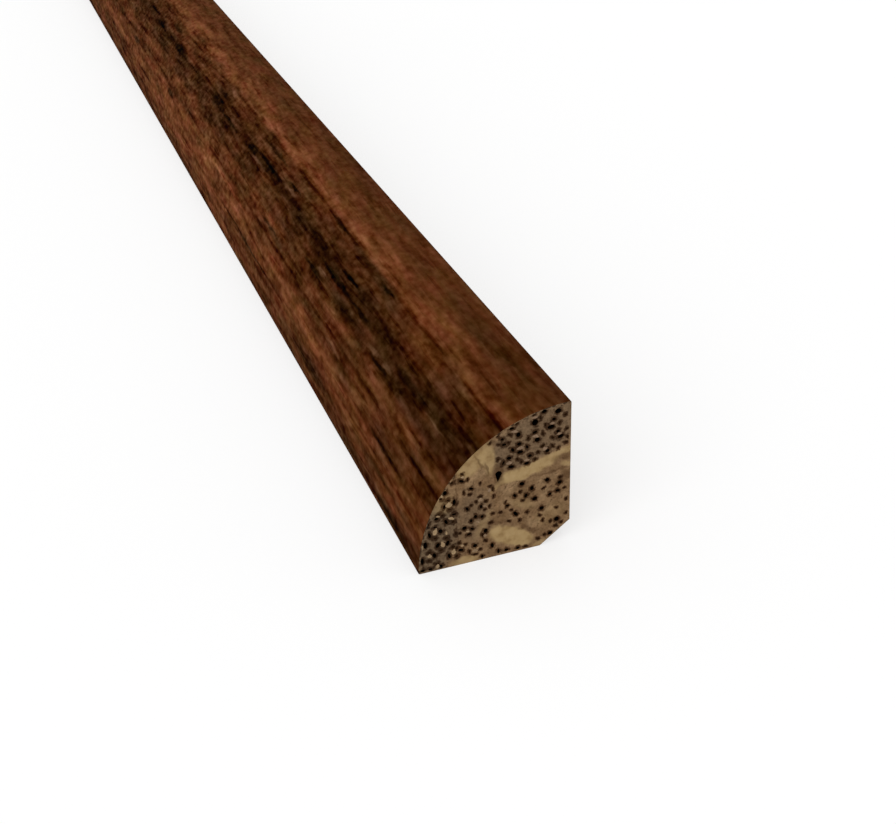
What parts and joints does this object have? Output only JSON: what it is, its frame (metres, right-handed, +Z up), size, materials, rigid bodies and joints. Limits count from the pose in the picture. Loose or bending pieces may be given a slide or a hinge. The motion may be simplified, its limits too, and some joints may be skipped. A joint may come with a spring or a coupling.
{
  "type": "quarter round moulding",
  "caption": "Straight length of quarter round floor trim in dark stained strand bamboo, flat on the underside and back, with a quarter circle face and a cut-off hidden corner.",
  "frame": {"origin": "on the floor plane, at the middle of the length and halfway between the toe and the wall plane", "axes": "+X along the length, +Y out of the flat back towards the wall, +Z up; the quarter circle face looks to -Y and +Z"},
  "size_m": [1.8288, 0.019, 0.019],
  "materials": {
    "stained_bamboo": "satin"
  },
  "bodies": {
    "root": {"quarter_round": "stained_bamboo"}
  },
  "joints": []
}
